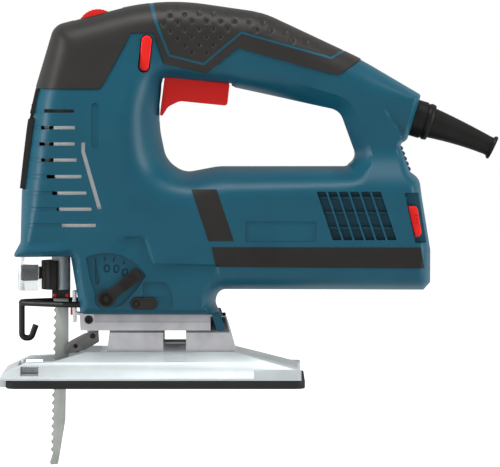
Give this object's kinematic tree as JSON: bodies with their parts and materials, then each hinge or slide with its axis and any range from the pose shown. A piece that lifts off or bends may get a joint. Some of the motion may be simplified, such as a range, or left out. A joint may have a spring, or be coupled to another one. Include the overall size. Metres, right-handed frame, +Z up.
{
  "type": "jigsaw",
  "caption": "Corded top-handle jigsaw with a blue clamshell body, rubber grip, trigger, orbit lever, tilting foot and a blade that strokes up and down",
  "frame": {"origin": "on the sole plane, where the blade passes through it", "axes": "+X to the rear, +Y to the far side, +Z up; the foot's sole lies on Z = 0"},
  "size_m": [0.2657, 0.076, 0.2476],
  "materials": {
    "blue_body": "fine moulded texture",
    "grip_rubber": "soft matt overmould",
    "dark_plastic": "moulded",
    "red_plastic": "moulded",
    "cast_metal": "die cast",
    "foot_metal": "die cast, bright",
    "sole_plastic": "smooth glide plate",
    "steel": "ground",
    "blade_steel": "ground, toothed",
    "black_steel": "black coated",
    "clear_plastic": "clear",
    "copper": "enamelled wire",
    "brass": "plain",
    "carbon": "graphite",
    "core_steel": "laminated",
    "fan_plastic": "moulded"
  },
  "bodies": {
    "housing": {"housing_left": "blue_body", "housing_right": "blue_body", "grip_left": "grip_rubber", "grip_right": "grip_rubber", "cord_sleeve": "grip_rubber", "side_band_left": "dark_plastic", "side_band_right": "dark_plastic", "release_slide": "dark_plastic", "switch_module": "dark_plastic", "cord_clamp": "dark_plastic", "gear_housing": "cast_metal", "base_rail": "cast_metal", "guide_bracket": "cast_metal", "housing_screws": "steel", "dial_axle": "steel", "eject_pin": "steel", "cord_clamp_screws": "steel", "front_bearing": "steel", "rear_bearing": "steel", "gear_axle": "steel", "rail_screws": "steel", "roller_arm_pin": "steel", "foot_clamp": "steel", "wire_guard": "black_steel", "clear_guard": "clear_plastic", "field_coils": "copper", "brush_holders": "brass", "upper_bush": "brass", "lower_bush": "brass", "brushes": "carbon", "stator": "core_steel"},
    "trigger": {"trigger": "red_plastic"},
    "lock_button": {"lock_button": "red_plastic"},
    "speed_dial": {"speed_dial": "red_plastic"},
    "eject_lever": {"eject_lever": "dark_plastic"},
    "orbit_lever": {"orbit_lever": "dark_plastic"},
    "blower_slider": {"blower_slider": "dark_plastic"},
    "key_clip": {"key_clip": "red_plastic"},
    "armature": {"armature_shaft": "steel", "pinion": "steel", "rotor_stack": "core_steel", "rotor_windings": "copper", "fan": "fan_plastic", "commutator": "copper"},
    "gear": {"drive_gear": "steel", "crank_pin": "steel", "balance_weight": "steel"},
    "plunger": {"plunger_rod": "steel", "yoke": "steel", "blade_clamp": "black_steel", "blade": "blade_steel"},
    "collar": {"clamp_collar": "dark_plastic"},
    "roller_arm": {"roller_arm": "dark_plastic", "roller_pin": "steel"},
    "guide_roller": {"guide_roller": "steel"},
    "foot": {"foot_casting": "foot_metal", "foot_saddle": "cast_metal", "sole_plate": "sole_plastic"}
  },
  "joints": [
    {"name": "trigger_press", "type": "slide", "parent": "housing", "child": "trigger", "axis": [0, 0, 1], "range_m": [0, 0.005], "stiffness_N_per_m": 800, "springref_m": -0.002},
    {"name": "lock_button_press", "type": "slide", "parent": "housing", "child": "lock_button", "axis": [0, 1, 0], "range_m": [0, 0.0025], "stiffness_N_per_m": 600, "springref_m": -0.001},
    {"name": "speed_dial_turn", "type": "hinge", "parent": "housing", "child": "speed_dial", "pos_m": [0.02, 0, 0.1892], "axis": [0, 1, 0], "range_deg": [-135, 135]},
    {"name": "eject_lever_swing", "type": "hinge", "parent": "housing", "child": "eject_lever", "pos_m": [-0.012, 0, 0.1485], "axis": [0, 1, 0], "range_deg": [0, 40], "stiffness_Nm_per_rad": 0.2, "springref_deg": -5.73},
    {"name": "orbit_lever_turn", "type": "hinge", "parent": "housing", "child": "orbit_lever", "pos_m": [0.0251, -0.028, 0.0474], "axis": [0, -1, 0], "range_deg": [0, 69]},
    {"name": "blower_slide", "type": "slide", "parent": "housing", "child": "blower_slider", "axis": [1, 0, 0], "range_m": [0, 0.008]},
    {"name": "key_clip_pull", "type": "slide", "parent": "housing", "child": "key_clip", "axis": [0, -1, 0], "range_m": [0, 0.012]},
    {"name": "gear_turn", "type": "hinge", "parent": "housing", "child": "gear", "pos_m": [0.033, 0, 0.1125], "axis": [1, 0, 0], "continuous": true},
    {"name": "armature_turn", "type": "hinge", "parent": "housing", "child": "armature", "pos_m": [0.1, 0, 0.083], "axis": [1, 0, 0], "continuous": true},
    {"name": "plunger_stroke", "type": "slide", "parent": "housing", "child": "plunger", "axis": [0, 0, 1], "range_m": [-0.02, 0]},
    {"name": "collar_turn", "type": "hinge", "parent": "plunger", "child": "collar", "pos_m": [0, 0, 0.058], "axis": [0, 0, 1], "range_deg": [0, 40], "stiffness_Nm_per_rad": 0.05, "springref_deg": -11.46},
    {"name": "roller_arm_swing", "type": "hinge", "parent": "housing", "child": "roller_arm", "pos_m": [0.017, 0, 0.0258], "axis": [0, -1, 0], "range_deg": [0, 6]},
    {"name": "guide_roller_turn", "type": "hinge", "parent": "roller_arm", "child": "guide_roller", "pos_m": [0.0079, 0, 0.0203], "axis": [0, 1, 0], "continuous": true},
    {"name": "foot_bevel", "type": "hinge", "parent": "housing", "child": "foot", "pos_m": [0.045, 0, 0], "axis": [1, 0, 0], "range_deg": [-45, 45]}
  ],
  "couplings": [
    {"joint": "armature_turn", "follows": "gear_turn", "ratio": -5.5556}
  ]
}
